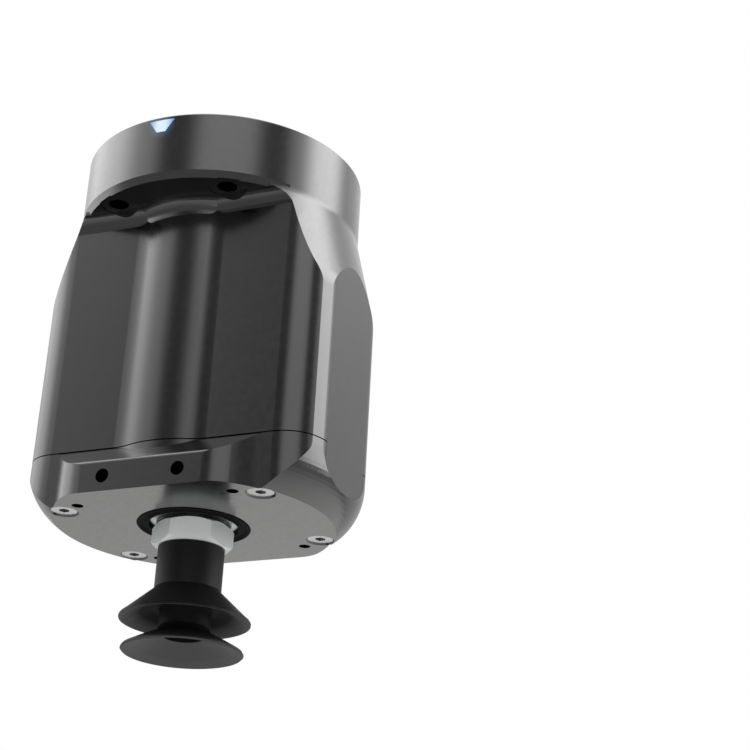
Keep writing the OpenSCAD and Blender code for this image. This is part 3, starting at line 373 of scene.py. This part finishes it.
def makeSpring(s, low, high, material):
    deselectAll()
    wireRadius = mm(s["wire"] / 2)
    outside = (high[0] - low[0]) / 2
    bpy.ops.mesh.primitive_circle_add(vertices=s["wireSides"], radius=wireRadius, fill_type="NGON",
                                      rotation=(math.pi / 2, 0, 0), location=(outside - wireRadius, 0, 0))
    piece = bpy.context.object
    piece.name = "valveSpringWire"
    bpy.ops.object.transform_apply(location=True, rotation=True)
    coil = piece.modifiers.new("coil", "SCREW")
    coil.iterations, coil.steps, coil.render_steps = s["turns"], s["steps"], s["steps"]
    coil.screw_offset = (high[2] - low[2] - 2 * wireRadius) / s["turns"]
    bpy.ops.object.modifier_apply(modifier="coil")
    piece.location = ((low[0] + high[0]) / 2, (low[1] + high[1]) / 2, low[2] + wireRadius)
    bpy.ops.object.transform_apply(location=True)
    bpy.ops.object.mode_set(mode="EDIT")
    bpy.ops.mesh.select_all(action="SELECT")
    bpy.ops.mesh.fill_holes(sides=s["wireSides"])  # the coil leaves both ends of the wire open
    bpy.ops.mesh.select_all(action="SELECT")
    bpy.ops.mesh.normals_make_consistent(inside=False)
    bpy.ops.object.mode_set(mode="OBJECT")
    bpy.ops.object.shade_smooth_by_angle(angle=sharpEdge)
    piece.data.materials.append(material)
    return piece


# the piece stands for its node, which is hidden, and joins the housing's body with a mesh of its own
def closeWith(piece, node):
    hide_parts(node)
    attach(piece, "housing")
    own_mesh(piece)


closeWith(makeBellows(bellows, cupRubber), "cup_bellows")
closeWith(makeSpring(spring, *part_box("valve_spring"), springSteel), "valve_spring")
print("stage: bellows and spring made")

# studio: white all round, with two soft boxes and two dark screens that only gloss shows
studio = {
    "floorDepth": 600, "floorSize": 6000, "floor": "#f2f2f0", "fill": 0.55, "lift": 0.45,
    # azimuth, width and strength of each soft box, above 0, or dark screen, below 0
    "boxes": ((29, 37, 3.1), (-178, 54, 1.7), (-106, 33, -0.84), (-23, 29, -0.82)),
    # heights, as sines, between which the walls of the studio brighten from dim to full
    "dimTo": 0.36, "fullFrom": 0.54, "dim": 0.62,
    # in gloss the floor is dark but for one pool of light: its place, radii from full to none, and the dark
    "pool": (-100, 1250), "poolIn": 650, "poolOut": 1900, "dark": 0.28,
}


# 1 for the rays that see the background: camera, glossy and transmission
def backgroundRay(tree):
    path = add(tree, "ShaderNodeLightPath")
    first = add(tree, "ShaderNodeMath", {"operation": "MAXIMUM"}, i0=path.outputs["Is Camera Ray"],
                i1=path.outputs["Is Glossy Ray"])
    return add(tree, "ShaderNodeMath", {"operation": "MAXIMUM"}, i0=first.outputs["Value"],
               i1=path.outputs["Is Transmission Ray"]).outputs["Value"]


def makeFloor(s):
    deselectAll()
    bpy.ops.mesh.primitive_plane_add(size=mm(s["floorSize"]), location=(0, 0, -mm(s["floorDepth"])))
    floor = bpy.context.object
    floor.name = "studioFloor"
    made, tree, place = newMaterial("paperMatt")
    x, y = s["pool"]
    away = add(tree, "ShaderNodeVectorMath", {"operation": "DISTANCE", 1: (mm(x), mm(y), 0)}, i0=place)
    pool = add(tree, "ShaderNodeMapRange", {"interpolation_type": "SMOOTHSTEP", "From Min": mm(s["poolIn"]),
               "From Max": mm(s["poolOut"]), "To Min": 1.0, "To Max": s["dark"]}, Value=away.outputs["Value"])
    glossy = add(tree, "ShaderNodeLightPath").outputs["Is Glossy Ray"]
    seen = add(tree, "ShaderNodeMix", {"data_type": "FLOAT", 2: 1.0}, i0=glossy,
               i3=pool.outputs["Result"]).outputs[0]
    colour = add(tree, "ShaderNodeVectorMath", {"operation": "SCALE", 0: linear(s["floor"])[:3]}, Scale=seen)
    paper = add(tree, "ShaderNodeBsdfDiffuse", Color=colour.outputs["Vector"])
    lift = add(tree, "ShaderNodeMath", {"operation": "MULTIPLY", 1: s["lift"]}, i0=backgroundRay(tree))
    lift = add(tree, "ShaderNodeMath", {"operation": "MULTIPLY"}, i0=lift.outputs["Value"], i1=seen)
    pale = add(tree, "ShaderNodeEmission", {"Color": (1, 1, 1, 1)}, Strength=lift.outputs["Value"])
    both = add(tree, "ShaderNodeAddShader", i0=paper.outputs["BSDF"], i1=pale.outputs["Emission"])
    # from below the floor can't be seen
    back = add(tree, "ShaderNodeNewGeometry").outputs["Backfacing"]
    clear = add(tree, "ShaderNodeBsdfTransparent")
    finishMaterial(tree, add(tree, "ShaderNodeMixShader", Fac=back, i1=both.outputs["Shader"],
                             i2=clear.outputs["BSDF"]))
    floor.data.materials.append(made)


def makeWorld(s):
    world = bpy.data.worlds.new("studioWorld")
    world.use_nodes = True
    tree = world.node_tree
    tree.nodes.clear()
    coords = add(tree, "ShaderNodeTexCoord")
    split = add(tree, "ShaderNodeSeparateXYZ", Vector=coords.outputs["Generated"])
    around = add(tree, "ShaderNodeMath", {"operation": "ARCTAN2"}, i0=split.outputs["Y"],
                 i1=split.outputs["X"]).outputs["Value"]
    total = add(tree, "ShaderNodeValue").outputs["Value"]
    total.default_value = 1.0
    for azimuth, width, strength in s["boxes"]:
        # flat-topped lobe about its azimuth, half as strong at half its width
        off = add(tree, "ShaderNodeMath", {"operation": "SUBTRACT", 1: math.radians(azimuth)}, i0=around)
        near = add(tree, "ShaderNodeMath", {"operation": "COSINE"}, i0=off.outputs["Value"])
        steep = 1 / (1 - math.cos(math.radians(width / 2)))
        away = add(tree, "ShaderNodeMath", {"operation": "MULTIPLY_ADD", 1: -steep, 2: steep},
                   i0=near.outputs["Value"])
        fall = add(tree, "ShaderNodeMath", {"operation": "POWER", 1: 2.0}, i0=away.outputs["Value"])
        lobe = add(tree, "ShaderNodeMath", {"operation": "POWER", 0: 0.5}, i1=fall.outputs["Value"])
        total = add(tree, "ShaderNodeMath", {"operation": "MULTIPLY_ADD", 1: strength},
                    i0=lobe.outputs["Value"], i2=total).outputs["Value"]
    climb = add(tree, "ShaderNodeMapRange", {"interpolation_type": "SMOOTHSTEP", "From Min": s["dimTo"],
                "From Max": s["fullFrom"], "To Min": s["dim"], "To Max": 1.0}, Value=split.outputs["Z"])
    total = add(tree, "ShaderNodeMath", {"operation": "MULTIPLY"}, i0=total,
                i1=climb.outputs["Result"]).outputs["Value"]
    # camera and transmission rays see plain white, glossy rays the white with its boxes, the rest the fill
    glossy = add(tree, "ShaderNodeLightPath").outputs["Is Glossy Ray"]
    white = add(tree, "ShaderNodeMix", {"data_type": "FLOAT", 2: 1.0}, i0=glossy, i3=total)
    level = add(tree, "ShaderNodeMix", {"data_type": "FLOAT", 2: s["fill"]}, i0=backgroundRay(tree),
                i3=white.outputs[0])
    sky = add(tree, "ShaderNodeBackground", {"Color": (1, 1, 1, 1)}, Strength=level.outputs[0])
    out = add(tree, "ShaderNodeOutputWorld")
    tree.links.new(sky.outputs[0], out.inputs["Surface"])
    bpy.context.scene.world = world


# soft lamp near the camera, aimed at the body's middle; gloss doesn't show it. Power in watts
lamp = {"azimuth": -66, "elevation": -36, "distance": 800, "aim": (0, 0, -60), "size": 260, "power": 3.5}


def makeLamp(s):
    a, e = math.radians(s["azimuth"]), math.radians(s["elevation"])
    out = Vector((math.cos(a) * math.cos(e), math.sin(a) * math.cos(e), math.sin(e)))
    data = bpy.data.lights.new("softLamp", "AREA")
    data.shape, data.size, data.energy = "DISK", mm(s["size"]), s["power"]
    obj = bpy.data.objects.new("softLamp", data)
    obj.visible_glossy = False
    bpy.context.scene.collection.objects.link(obj)
    place = out * mm(s["distance"]) + Vector([mm(v) for v in s["aim"]])
    obj.matrix_world = Matrix.Translation(place) @ out.to_track_quat("Z", "Y").to_matrix().to_4x4()


makeFloor(studio)
makeWorld(studio)
makeLamp(lamp)
bpy.context.scene.view_settings.view_transform = "Standard"
print("stage: studio ready")
